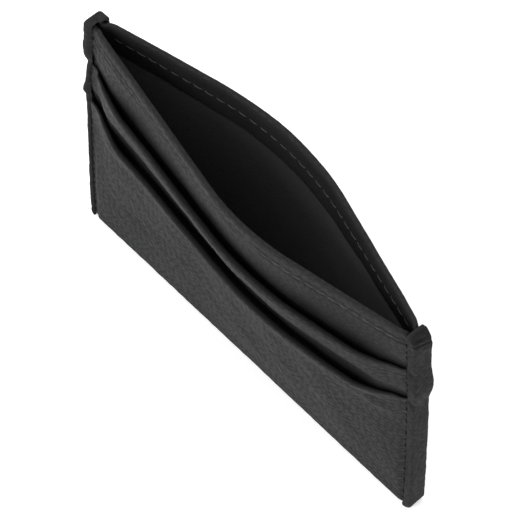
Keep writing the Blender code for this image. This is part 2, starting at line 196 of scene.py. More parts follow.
STAND = {MIDDLE_LIP: (0.6 * MM, 0.5 * MM), OUTER_LIP: (0.9 * MM, 0.5 * MM)}
STAND_END = {MIDDLE_LIP: (46.8 * MM, 47.8 * MM), OUTER_LIP: (49.2 * MM, 47.8 * MM)}
FLUSH_TO, FLUSH_RUN = (48.6 * MM, 47.9 * MM), 1.5 * MM
WALL_SINK = 0.05 * MM                # the wall lies deeper below its own hem


def at_seam(u):
    return ramp(np.abs(u), SEAM_HALF - PARE_RUN, SEAM_HALF)


def wall_out(u, v):
    seam = mix(SEAM_WALL_OUT, SEAM_OUT, ramp(v, MIDDLE_LIP + 1 * MM, MIDDLE_LIP + 6 * MM))
    return mix(WALL_OUT - WALL_SINK * ramp(-v, -67 * MM, -63 * MM), seam, at_seam(u))


def lip_seam(u, v, lip):
    """at_seam for a pocket: near its lip, the leather thins out over a longer way than below."""
    long_run = np.where(u < 0, *LONG_RUN)
    run = mix(PARE_RUN, long_run, ramp(v, lip - 10 * MM, lip))
    return ramp(np.abs(u), SEAM_HALF - run, SEAM_HALF)


def lip_stand(u, v, lip):
    """A lip is not pinched flat in the seam: it stands out up to the binding, most of all on the left."""
    height, end = (np.where(u < 0, *pairs[lip]) for pairs in (STAND, STAND_END))
    rise = ramp(np.abs(u), 22 * MM, 43 * MM) * ramp(end - np.abs(u), 0, 1.2 * MM)
    return height * rise * ramp(v, lip - 12 * MM, lip)


def middle_out(u, v):
    hem_share = ramp(v, MIDDLE_LIP - HEM - 2 * MM, MIDDLE_LIP - HEM + 1 * MM)
    seam = mix(SEAM_WALL_OUT, SEAM_OUT, ramp(v, OUTER_LIP + 0.5 * MM, OUTER_LIP + 5 * MM))
    gape = MIDDLE_GAPE * ramp(v, OUTER_LIP, MIDDLE_LIP) * lip_gape(u) + lip_stand(u, v, MIDDLE_LIP)
    return mix(MIDDLE_OUT + LEATHER * hem_share, seam, lip_seam(u, v, MIDDLE_LIP)) + gape


def outer_out(u, v):
    hem_share = ramp(v, OUTER_LIP - HEM - 2 * MM, OUTER_LIP - HEM + 1 * MM)
    fuller = LEFT_FULLER * np.maximum(-u, 0) / (WIDTH / 2)
    low = mix(BOTTOM_DEPTH + fuller, LOW_OUTER_OUT, ramp(v, 2 * BOTTOM_DEPTH, TAIL_FOOT - 1 * MM))
    panel = mix(low, OUTER_OUT, ramp(v, MIDDLE_FOOT - 9 * MM, MIDDLE_FOOT - 1 * MM)) + LEATHER * hem_share
    gape = OUTER_GAPE * ramp(v, MIDDLE_FOOT, OUTER_LIP) * lip_gape(u) + lip_stand(u, v, OUTER_LIP)
    # Near the bottom the panel is flush with the binding, so it thins out only under the binding's arm
    flush = ramp(np.abs(u), *(np.where(u < 0, *FLUSH_TO) - back for back in (FLUSH_RUN, 0)))
    seam = mix(flush, lip_seam(u, v, OUTER_LIP), ramp(v, TAIL_FOOT, OUTER_LIP - HEM))
    return mix(panel, SEAM_OUT, seam) + gape


print("stack at the outer lip, mm:", round(1000 * float(outer_out(0.0, OUTER_LIP)), 2))

# %% [markdown]
# ## Helpers for meshes
# A soft piece is a closed ring of rows, down one face and up the other, with columns across. It
# could be a plane with a Solidify modifier, but a turned hem is a fold of the sheet on itself,
# which a drawn profile gives exactly. Each point also stores its place on the flat sheet, so that
# grain and weave follow the leather round every bend.

# %% Ring meshes
GRID = 0.38 * MM


def link(name, mesh):
    piece = bpy.data.objects.new(name, mesh)
    bpy.context.scene.collection.objects.link(piece)
    return piece


def add_attribute(mesh, name, kind, values):
    mesh.attributes.new(name, kind, "POINT").data.foreach_set(
        "vector" if kind == "FLOAT_VECTOR" else "value", np.asarray(values, np.float32).ravel())


def ring_mesh(name, points, flat, grain, wear, close_ends=True):
    """A closed sheet from points[row, column], whose rows go once round its section."""
    rows, columns = points.shape[:2]
    index = np.arange(rows * columns).reshape(rows, columns)
    following = np.roll(index, -1, axis=0)
    quads = np.stack([index[:, :-1], index[:, 1:], following[:, 1:], following[:, :-1]], -1)
    faces = quads.reshape(-1, 4).tolist()
    if close_ends:
        faces += [index[::-1, 0].tolist(), index[:, -1].tolist()]
    mesh = bpy.data.meshes.new(name)
    mesh.from_pydata(points.reshape(-1, 3).tolist(), [], faces)
    add_attribute(mesh, "flat", "FLOAT_VECTOR", flat.reshape(-1, 3))
    add_attribute(mesh, "grain", "FLOAT", np.broadcast_to(grain, (rows, columns)))
    add_attribute(mesh, "wear", "FLOAT", np.broadcast_to(wear, (rows, columns)))
    work = bmesh.new()
    work.from_mesh(mesh)
    bmesh.ops.remove_doubles(work, verts=work.verts[:], dist=0.001 * MM)
    bmesh.ops.triangulate(work, faces=[face for face in work.faces if len(face.verts) > 4])
    bmesh.ops.recalc_face_normals(work, faces=work.faces[:])
    if work.calc_volume(signed=True) < 0:
        bmesh.ops.reverse_faces(work, faces=work.faces[:])
    work.to_mesh(mesh)
    work.free()
    mesh.shade_smooth()
    return link(name, mesh)


def spread(start, end, step):
    return np.linspace(start, end, max(2, int(round(abs(end - start) / step)) + 1))


def waves(x, y, seed, size):
    """Soft unevenness between -1 and 1: a few long waves that cross at odd angles."""
    random = np.random.default_rng(seed)
    total = 0
    for _ in range(7):
        angle, phase = random.uniform(0, math.pi), random.uniform(0, 2 * math.pi)
        length = size * random.uniform(0.6, 1.7)
        total = total + np.sin(2 * math.pi * (x * math.cos(angle) + y * math.sin(angle)) / length + phase)
    return total / 3.5


columns_u = spread(-EDGE_HALF, EDGE_HALF, GRID)
print("columns across a panel:", len(columns_u))

# %% [markdown]
# ## Colours and nodes
# Finishes are chosen as sRGB hex values, as on a swatch card, and shaders want linear light, so one
# function converts them. One more function adds a node, its settings and its links in a line.

# %% Node helpers
def linear(hex_value):
    parts = [int(hex_value[i:i + 2], 16) / 255 for i in (1, 3, 5)]
    return [p / 12.92 if p <= 0.04045 else ((p + 0.055) / 1.055) ** 2.4 for p in parts] + [1.0]


def add(tree, kind, inputs=None, **settings):
    made = tree.nodes.new(kind)
    for key, value in settings.items():
        setattr(made, key, value)
    for key, value in (inputs or {}).items():
        if isinstance(value, bpy.types.NodeSocket):
            tree.links.new(value, made.inputs[key])
        else:
            made.inputs[key].default_value = value
    return made


def start_material(name):
    material = bpy.data.materials.new(name)
    material.use_nodes = True
    return material, material.node_tree, material.node_tree.nodes["Principled BSDF"]


print("black leather, linear:", [round(c, 4) for c in linear("#171718")[:3]])

# %% [markdown]
# ## Pebbled leather
# Drum-dyed black cowhide, tumbled until it shrinks into small soft pebbles about a millimetre wide,
# with a semi-matt finish. The eye reads three things: rounded pebbles that catch the light, thin
# creases between them that stay dark, and places where handling has polished the surface. The pebbles
# are Voronoi cells on the flat sheet, and the dark in their creases is painted shade in the base colour.
# The same cells drive the pressed shape below, so that the painted crease shade lies in the real creases.

# %% Leather materials
PEBBLE_LONG, PEBBLE_SHORT, PEBBLE = 1.75 * MM, 1.15 * MM, 1.4 * MM
WARP_SIZE, WARP_REACH = 3.0 * MM, 0.35     # the cells wander, so that no row of them is straight


def pebble_cells(tree, flat, seed):
    """Voronoi coordinates on the flat sheet, bent by a slow noise."""
    scaled = add(tree, "ShaderNodeVectorMath", {0: flat, 1: (1 / PEBBLE_LONG, 1 / PEBBLE_SHORT, 1 / PEBBLE)},
                 operation="MULTIPLY")
    moved = add(tree, "ShaderNodeVectorMath", {0: scaled.outputs[0], 1: (seed * 7.3, seed * 3.1, 0)})
    noise = add(tree, "ShaderNodeTexNoise", {"Vector": moved.outputs[0], "Scale": PEBBLE / WARP_SIZE,
                                             "Detail": 1.0})
    warp = add(tree, "ShaderNodeVectorMath", {0: noise.outputs["Color"], 3: WARP_REACH}, operation="SCALE")
    return add(tree, "ShaderNodeVectorMath", {0: moved.outputs[0], 1: warp.outputs[0]}).outputs[0]


def leather_material(name, hex_value, seed, rough, bump, crease_shade, shine=0.2):
    material, tree, shader = start_material(name)
    flat = add(tree, "ShaderNodeAttribute", attribute_name="flat").outputs["Vector"]
    grain = add(tree, "ShaderNodeAttribute", attribute_name="grain").outputs["Fac"]
    wear = add(tree, "ShaderNodeAttribute", attribute_name="wear").outputs["Fac"]
    cells = pebble_cells(tree, flat, seed)
    edges = add(tree, "ShaderNodeTexVoronoi", {"Vector": cells, "Scale": 1.0},
                voronoi_dimensions="2D", feature="DISTANCE_TO_EDGE")
    tops = add(tree, "ShaderNodeMapRange", {0: edges.outputs["Distance"], 1: 0.0, 2: 0.4},
               interpolation_type="SMOOTHSTEP").outputs[0]
    each = add(tree, "ShaderNodeTexVoronoi", {"Vector": cells, "Scale": 1.0}, voronoi_dimensions="2D")
    tone = add(tree, "ShaderNodeSeparateColor", {0: each.outputs["Color"]}).outputs[0]
    pores = add(tree, "ShaderNodeTexNoise", {"Vector": cells, "Scale": 5.0, "Detail": 3.0}).outputs["Fac"]
    clouds = add(tree, "ShaderNodeTexNoise", {"Vector": cells, "Scale": 0.09, "Detail": 2.0}).outputs["Fac"]
    # How bright: painted shade in the creases, pebbles of slightly different tone, clouds, and paler worn
    # edges
    crease = add(tree, "ShaderNodeMapRange", {0: tops, 3: crease_shade, 4: 1.0}).outputs[0]
    crease = add(tree, "ShaderNodeMix", {0: grain, 2: 0.9, 3: crease}).outputs[0]
    varied = add(tree, "ShaderNodeMapRange", {0: tone, 3: 0.92, 4: 1.08}).outputs[0]
    cloudy = add(tree, "ShaderNodeMapRange", {0: clouds, 1: 0.3, 2: 0.7, 3: 0.78, 4: 1.22}).outputs[0]
    level = add(tree, "ShaderNodeMath", {0: crease, 1: varied}, operation="MULTIPLY").outputs[0]
    level = add(tree, "ShaderNodeMath", {0: level, 1: cloudy}, operation="MULTIPLY").outputs[0]
    rubbed = add(tree, "ShaderNodeMath", {0: wear, 1: pores}, operation="MULTIPLY").outputs[0]
    level = add(tree, "ShaderNodeMath", {0: rubbed, 1: 1.5, 2: level}, operation="MULTIPLY_ADD").outputs[0]
    shade = add(tree, "ShaderNodeMix", {0: 1.0, 6: linear(hex_value), 7: level}, data_type="RGBA",
                blend_type="MULTIPLY").outputs[2]
    tree.links.new(shade, shader.inputs["Base Color"])
    # How glossy: creases are dull, worn edges are polished
    dull = add(tree, "ShaderNodeMapRange", {0: tops, 3: rough + 0.16, 4: rough - 0.03}).outputs[0]
    dull = add(tree, "ShaderNodeMath", {0: pores, 1: 0.12, 2: dull}, operation="MULTIPLY_ADD").outputs[0]
    dull = add(tree, "ShaderNodeMath", {0: wear, 1: -0.08, 2: dull}, operation="MULTIPLY_ADD").outputs[0]
    tree.links.new(dull, shader.inputs["Roughness"])
    shader.inputs["IOR"].default_value = 1.5
    shader.inputs["Specular IOR Level"].default_value = shine
    # Fine relief that is too small for the mesh: the crease floors and the pores
    relief = add(tree, "ShaderNodeMath", {0: tops, 1: grain}, operation="MULTIPLY").outputs[0]
    relief = add(tree, "ShaderNodeMath", {0: pores, 1: 0.35, 2: relief}, operation="MULTIPLY_ADD").outputs[0]
    bumped = add(tree, "ShaderNodeBump", {"Height": relief, "Strength": bump, "Distance": 0.06 * MM})
    tree.links.new(bumped.outputs[0], shader.inputs["Normal"])
    return material


pebbled = leather_material("pebbled_black_cowhide", "#171718", 1, 0.58, 0.32, 0.85)
pebbled_strip = leather_material("pebbled_black_cowhide_strip", "#171718", 2, 0.57, 0.35, 0.85)
binding_finish = leather_material("pressed_black_binding_leather", "#202021", 3, 0.62, 0.03, 0.98, 0.1)
print("leathers:", pebbled.name, pebbled_strip.name, binding_finish.name)

# %% [markdown]
# ## The tree that presses the pebbles
# Bump alone leaves a smooth outline and is lost when the mesh is used on its own. This tree moves the
# points themselves, by the Voronoi cells of the flat sheet. Its inputs are named for the finish: how deep
# the pebbles are and which seed the hide has.

# %% Pebble tree
def new_tree(name, sockets):
    tree = bpy.data.node_groups.new(name, "GeometryNodeTree")
    tree.interface.new_socket("Geometry", in_out="INPUT", socket_type="NodeSocketGeometry")
    for label, kind, value in sockets:
        made = tree.interface.new_socket(label, in_out="INPUT", socket_type=kind)
        if value is not None:
            made.default_value = value
    tree.interface.new_socket("Geometry", in_out="OUTPUT", socket_type="NodeSocketGeometry")
    return tree, tree.nodes.new("NodeGroupInput"), tree.nodes.new("NodeGroupOutput")


def grow(name, base, tree, values):
    """Runs a tree on base with named inputs, and keeps the result as a plain mesh."""
    modifier = base.modifiers.new(tree.name, "NODES")
    modifier.node_group = tree
    for socket in tree.interface.items_tree:
        if socket.in_out == "INPUT" and socket.name in values:
            modifier[socket.identifier] = values[socket.name]
    depsgraph = bpy.context.evaluated_depsgraph_get()
    mesh = bpy.data.meshes.new_from_object(base.evaluated_get(depsgraph), preserve_all_data_layers=True,
                                           depsgraph=depsgraph)
    bpy.data.objects.remove(base)
    mesh.name = name
    return link(name, mesh)


press, press_in, press_out = new_tree("press_pebbles", [
    ("Pebble Depth", "NodeSocketFloat", 0.07 * MM), ("Seed", "NodeSocketFloat", 1.0),
    ("Finish", "NodeSocketMaterial", None)])
sheet_place = add(press, "GeometryNodeInputNamedAttribute", {"Name": "flat"}, data_type="FLOAT_VECTOR")
sheet_grain = add(press, "GeometryNodeInputNamedAttribute", {"Name": "grain"}, data_type="FLOAT")
seed_shift = add(press, "ShaderNodeCombineXYZ", {
    0: add(press, "ShaderNodeMath", {0: press_in.outputs["Seed"], 1: 7.3}, operation="MULTIPLY").outputs[0],
    1: add(press, "ShaderNodeMath", {0: press_in.outputs["Seed"], 1: 3.1}, operation="MULTIPLY").outputs[0]})
press_cells = pebble_cells(press, sheet_place.outputs[0], 0)
seeded = press_cells.node.inputs[0].links[0].from_node
press.links.new(seed_shift.outputs[0], seeded.inputs[1])
rounded = add(press, "ShaderNodeTexVoronoi", {"Vector": press_cells, "Scale": 1.0, "Smoothness": 0.35},
              voronoi_dimensions="2D", feature="SMOOTH_F1")
raised = add(press, "ShaderNodeMapRange", {0: rounded.outputs["Distance"], 1: 0.0, 2: 0.75, 3: 0.5, 4: -0.5})
amount = add(press, "ShaderNodeMath", {0: raised.outputs[0], 1: press_in.outputs["Pebble Depth"]},
             operation="MULTIPLY")
amount = add(press, "ShaderNodeMath", {0: amount.outputs[0], 1: sheet_grain.outputs[0]}, operation="MULTIPLY")
push = add(press, "ShaderNodeVectorMath", {0: add(press, "GeometryNodeInputNormal").outputs[0],
                                           3: amount.outputs[0]}, operation="SCALE")
pressed = add(press, "GeometryNodeSetPosition", {"Geometry": press_in.outputs["Geometry"],
                                                 "Offset": push.outputs[0]})
whole = add(press, "GeometryNodeRealizeInstances", {"Geometry": pressed.outputs[0]})
finished = add(press, "GeometryNodeSetMaterial", {"Geometry": whole.outputs[0],
                                                  "Material": press_in.outputs["Finish"]})
press.links.new(finished.outputs[0], press_out.inputs[0])
print("press_pebbles:", len(press.nodes), "nodes")

# %% [markdown]
# ## Leather strips with turned lips
# A pocket's top edge is turned: the leather runs up, folds over and is glued down inside for eight
# millimetres. The profile below goes up the face, over the roll, down the hem, back up between the
# two layers and down again. The roll is flatter than a circle, because it has been hammered.

# %% Turned strips
LIP_SEAM_DROP = 3.8 * MM
STITCH = 2.75 * MM
ROLL_POWER = 0.8
WALL_ROLL_TALL, POCKET_ROLL_TALL = 2.4, 1.1


def profile(rows):
    """Stacks (height, depth, grain, wear) rows, each a number or an array across the columns."""
    shape = (len(rows), len(columns_u))
    return [np.array([np.broadcast_to(row[i], shape[1]) for row in rows], float) for i in range(4)]


def strip_rows(out, lip, foot, thickness, tall, step=GRID):
    """The rows of one strip, from its foot up the outside, over the lip and back down inside."""
    u = columns_u
    layer = mix(LEATHER, LEATHER_PARED, at_seam(u)) * 0.92
    thick = thickness(u)
    roll = 0.5 * thick * tall
    top = lip - roll
    rows = []
    for share in np.linspace(0, 1, len(spread(foot, lip, step))):
        v = mix(foot, top, share)
        rows.append((v, out(u, v), 1.0, 0.25 * ramp(v, lip - 2.2 * MM, lip)))
    for angle in np.linspace(0, math.pi, 19)[1:-1]:
        across = math.copysign(abs(math.cos(angle)) ** ROLL_POWER, math.cos(angle))
        v = top + roll * math.sin(angle) ** ROLL_POWER
        worn = 0.2 + 0.3 * math.sin(angle)
        rows.append((v, out(u, top) - thick / 2 + across * thick / 2, 0.55, worn))
    for v_low in spread(0, 1, 0.06):
        v = mix(top, lip - HEM, v_low)
        rows.append((v, out(u, v) - thick, 0.5, 0.2 * (1 - v_low)))
    hem_low = lip - HEM
    rows.append((hem_low - 0.12 * MM, out(u, hem_low) - thick + 0.3 * layer, 0.0, 0.0))
    rows.append((hem_low - 0.12 * MM, out(u, hem_low) - thick + 0.7 * layer, 0.0, 0.0))
    for v_low in (0.0, 0.35, 0.7, 1.0):
        v = mix(hem_low, top, v_low)
        rows.append((v, out(u, v) - thick + layer, 0.0, 0.0))
    for share in np.linspace(0, 1, 12):
        v = mix(top, foot, share)
        rows.append((v, out(u, v) - layer, 0.0, 0.0))
    return profile(rows)


def flat_places(points, u):
    """Where each point lies on the flat sheet: across it and along its profile."""
    steps = np.linalg.norm(np.diff(points, axis=0), axis=2).mean(axis=1)
    along = np.concatenate([[0], np.cumsum(steps)])
    flat = np.zeros(points.shape)
    flat[..., 0] = u[None, :]
    flat[..., 1] = along[:, None]
    return flat


def lip_dents(u, v, lip, strength):
    """The bead of the roll, the line pressed beside it and the groove that the stitches lie in."""
    seam_line = lip - LIP_SEAM_DROP
    pull = 0.75 + 0.25 * np.cos(2 * math.pi * u / STITCH)
    groove = -0.26 * MM * bell(v, seam_line, 0.38 * MM) * pull
    ridge = 0.17 * MM * bell(v, seam_line + 0.85 * MM, 0.42 * MM)
    line = -0.06 * MM * bell(v, seam_line + 1.7 * MM, 0.3 * MM)
    puff = 0.08 * MM * bell(v, seam_line - 1.3 * MM, 0.9 * MM)
    return strength * (groove + ridge + line + puff)


def seam_groove(u, v):
    """The dip that the side stitches pull into the leather, right beside the binding."""
    each_stitch = 0.7 + 0.3 * np.cos(2 * math.pi * v / STITCH)
    return -0.12 * MM * bell(np.abs(u), ARM_TIP - 0.3 * MM, 0.4 * MM) * each_stitch


def make_strip(name, side, out, lip, foot, thickness, seed, stitched, finish, tuck=0.0):
    v, depth, grain, wear = strip_rows(out, lip, foot, thickness,
                                       WALL_ROLL_TALL if stitched else POCKET_ROLL_TALL)
    u = np.broadcast_to(columns_u, v.shape)
    outside = (depth > out(u, np.minimum(v, lip)) - 0.02 * MM) & (v <= lip)
    dents = lip_dents(u, v, lip, 1.0 if stitched else 0.25) + seam_groove(u, v)
    uneven = 0.10 * MM * waves(u, v, seed, 9 * MM) * (1 - at_seam(u)) * ramp(lip - v, 0, 3 * MM)
    depth = depth + np.where(outside, dents, 0) + uneven
    v = v - tuck * ramp(np.abs(u), ARM_TIP - 1.1 * MM, ARM_TIP - 0.1 * MM) * ramp(v, lip - 4 * MM, lip)
    wavy = 0.10 * MM * waves(u, 0 * u, seed + 50, 14 * MM) * (1 - at_seam(u)) * ramp(v, lip - HEM, lip)
    points = place(u, v + wavy, depth, side)
    base = ring_mesh(name + "_base", points, flat_places(points, columns_u), grain, wear)
    return grow(name, base, press, {"Pebble Depth": 0.075 * MM, "Seed": float(seed), "Finish": finish})


def wall_thickness(u):
    return wall_out(u, HEIGHT) - HALF_SLOT + 0.25 * MM * lip_tent(u)


def pocket_thickness(u):
    return mix(0.8 * MM, 0.45 * MM, at_seam(u)) + 1.0 * MM * (1 - np.exp(-2.5 * lip_tent(u)))


leather_pieces = {}
for word, side in (("front", FRONT), ("back", BACK)):
    leather_pieces[word + "_wall"] = make_strip(
        word + "_wall_leather", side, wall_out, HEIGHT, WALL_FOOT, wall_thickness, 2, True,
        pebbled_strip, SEAM_TUCK + 0.2 * MM)
    leather_pieces[word + "_middle_pocket"] = make_strip(
        word + "_middle_pocket_leather", side, middle_out, MIDDLE_LIP, MIDDLE_FOOT, pocket_thickness,
        2, False, pebbled_strip)
print("strips:", {key: len(piece.data.polygons) for key, piece in leather_pieces.items()})

# %% [markdown]
# ## The outer body
# One piece of leather makes both outer pockets: it runs down the front, folds under the bottom
# without a seam and goes up the back. So it is one ring too, with a turned lip at both ends.

# %% Outer body
def body_rows():
    u = columns_u
    front = []
    thick = pocket_thickness(u)
    layer = mix(LEATHER, LEATHER_PARED, at_seam(u)) * 0.92
    roll = 0.5 * thick
    top = OUTER_LIP - roll
    hem_low = OUTER_LIP - HEM
    for share in np.linspace(0, 1, len(spread(0, OUTER_LIP, GRID))):
        v = mix(0.0, top, share)
        front.append((v, outer_out(u, v), 1.0, 0.25 * ramp(v, OUTER_LIP - 2.2 * MM, OUTER_LIP)))
    for angle in np.linspace(0, math.pi, 13)[1:-1]:
        across = math.copysign(abs(math.cos(angle)) ** ROLL_POWER, math.cos(angle))
        v = top + roll * math.sin(angle) ** ROLL_POWER
        front.append((v, outer_out(u, v) - thick / 2 + across * thick / 2, 0.55,
                      0.2 + 0.3 * math.sin(angle)))
    for share in spread(0, 1, 0.09):
        v = mix(top, hem_low, share)
        front.append((v, outer_out(u, v) - thick, 0.5, 0.2 * (1 - share)))
    for share in (0.3, 0.7):
        front.append((hem_low - 0.12 * MM, outer_out(u, hem_low) - thick + share * layer, 0.0, 0.0))
    for share in (0.0, 0.35, 0.7, 1.0):
        v = mix(hem_low, top, share)
        front.append((v, outer_out(u, v) - thick + layer, 0.0, 0.0))
    for share in np.linspace(0, 1, 16):
        v = mix(top, 0.0, share)
        front.append((v, outer_out(u, v) - layer, 0.0, 0.0))
    return profile(front)


def bottom_rows(count, outer_face):
    """Half of the fold under the bottom, from its front quarter to the middle: height, depth."""
    outer = outer_out(columns_u, 0.0)
    layer = mix(LEATHER, LEATHER_PARED, at_seam(columns_u)) * 0.92
    radius = outer - BOTTOM_FLAT - (0 if outer_face else layer)
    height, depth = [], []
    for angle in np.linspace(0, math.pi / 2, count)[1:]:
        height.append(outer - BOTTOM_FLAT - radius * math.sin(angle))
        depth.append(BOTTOM_FLAT + radius * math.cos(angle))
    height.append(outer - BOTTOM_FLAT - radius)
    depth.append(np.full_like(outer, BOTTOM_FLAT / 2))
    return np.array(height), np.array(depth)


def make_body():
    v, depth, grain, wear = body_rows()
    u = np.broadcast_to(columns_u, v.shape)
    outside = (depth > outer_out(u, np.minimum(v, OUTER_LIP)) - 0.02 * MM) & (v <= OUTER_LIP)
    dents = lip_dents(u, v, OUTER_LIP, 0.2) + seam_groove(u, v)
    halves = {}
    for side in (FRONT, BACK):
        uneven = 0.20 * MM * waves(u, v, 11 + side, 17 * MM) + 0.07 * MM * waves(u, v, 31 + side, 6 * MM)
        uneven = uneven * (1 - at_seam(u)) * ramp(v, 2 * MM, 14 * MM) * ramp(OUTER_LIP - v, 0, 5 * MM)
        wavy = 0.12 * MM * waves(u, 0 * u, 60 + side, 16 * MM) * (1 - at_seam(u)) * ramp(v, OUTER_LIP - HEM,
                                                                                       OUTER_LIP)
        moved = depth + np.where(outside, dents, 0) + uneven
        shifted = np.where(v < BOTTOM_DEPTH, np.maximum(v, 0), v)
        halves[side] = place(u, shifted + wavy, moved, side)
    out_high, out_deep = bottom_rows(7, True)
    in_high, in_deep = bottom_rows(5, False)
    across = np.broadcast_to(columns_u, out_high.shape)
    inner_across = np.broadcast_to(columns_u, in_high.shape)
    outer_height = outer_out(columns_u, 0.0) - BOTTOM_FLAT
    middle = len(columns_u) // 2
    keep = v[:, middle] > outer_height[middle]
    keep[:int(np.argmax(v[:, 0] >= outer_height[0]))] = False
    sides = {side: halves[side][keep] for side in halves}
    arcs = {side: place(across, out_high, out_deep, side) for side in halves}
    inner = {side: place(inner_across, in_high, in_deep, side) for side in halves}
    points = np.concatenate([
        arcs[FRONT][::-1], sides[FRONT], inner[FRONT],
        inner[BACK][::-1], sides[BACK][::-1], arcs[BACK]])
    bare = np.zeros(out_high.shape)
    kept_grain, kept_wear = grain[keep], wear[keep]
    inner_bare = np.zeros(in_high.shape)
    all_grain = np.concatenate([bare + 1, kept_grain, inner_bare, inner_bare, kept_grain[::-1], bare + 1])
    all_wear = np.concatenate([bare + 0.35, kept_wear, inner_bare, inner_bare, kept_wear[::-1], bare + 0.35])
    flat = flat_places(points, columns_u)
    base = ring_mesh("outer_body_base", points, flat, all_grain, all_wear)
    return grow("outer_body_leather", base, press,
                {"Pebble Depth": 0.08 * MM, "Seed": 1.0, "Finish": pebbled})


leather_pieces["outer_body"] = make_body()
print("outer body:", len(leather_pieces["outer_body"].data.polygons), "faces")

# %% [markdown]
# ## Side bindings
# A strip of smoother leather wraps each side edge, and its end is folded over the top of the seam.
# It is thin, so it shows what it covers: it bulges over the outer pocket's hem and is pinched where
# a pocket's lip ends. Its section is a ring here, and the rows run up the edge. At the top the ring
# closes on its middle line, which is how the folded end looks.

# %% Bindings
BINDING, BEND = 0.45 * MM, 0.6 * MM
HALF_EDGE = 2.1 * MM
BACK_EXTRA = 0.35 * MM              # the back arm covers a fuller seam
CAP_CREASE, CAP_TOP, CAP_ROUND, CAP_POWER = 74.2 * MM, 75.4 * MM, 0.8 * MM, 0.8
CAP_PRESS = {-1: 0.15 * MM, 1: 0.55 * MM}   # how deep the crease under the folded top is
FRONT_SHORT = {-1: 1.1 * MM, 1: 0.0}        # the left front arm is cut short below the middle lip
CAP_SLOPE = {-1: 0.1 * MM, 1: 2.3 * MM}     # how far the folded top falls towards its outer end
SECTION_STEPS = 9


def section(tips, hugs, edge, half, bend, count):
    """Points round a side edge from the front arm's tip to the back's, as (across, through)."""
    arms = []
    for tip, hug in zip(tips, hugs):
        arm = [(mix(tip, edge - bend, share), half - hug * (1 - share) ** 2)
               for share in np.linspace(0, 1, count)[:-1]]
        arm += [(edge - bend + bend * math.sin(angle), half - bend + bend * math.cos(angle))
                for angle in np.linspace(0, math.pi / 2, count)]
        arms.append(arm)
    face = [(edge, mix(bend - half, half - bend, share)) for share in np.linspace(0, 1, count)[1:-1]]
    return np.array([(across, -through) for across, through in arms[0]] + face + arms[1][::-1])


def wrap(u, v, through):
    """Bends a point of a binding: its front arm follows the front wall and its back arm the back one."""
    share = np.clip(through / HALF_EDGE / 2 + 0.5, 0, 1)
    out = mix(-bow(u, v, FRONT), bow(u, v, BACK), share)
    return settle(u, v, through + out, np.abs(out))


def swells(v, hand):
    """How far a binding swells at height v: sideways, on its front arm and on its back arm."""
    lobes = 0.32 * MM * bell(v, 67 * MM, 4 * MM) + 0.30 * MM * bell(v, 55 * MM, 3 * MM)
    if hand > 0:
        side = 0.27 * MM * ramp(v, 47 * MM, 51 * MM) + 0.40 * MM * bell(v, 54 * MM, 4 * MM)
        side += 0.16 * MM * bell(v, 70.5 * MM, 2.5 * MM)
        return side, lobes, side
    side = 0.45 * MM * ramp(v, 59.5 * MM, 65 * MM) + 0.16 * MM * bell(v, 67.3 * MM, 1.8 * MM)
    side += 0.60 * MM * bell(v, 50.2 * MM, 3.5 * MM)
    return side, side, lobes


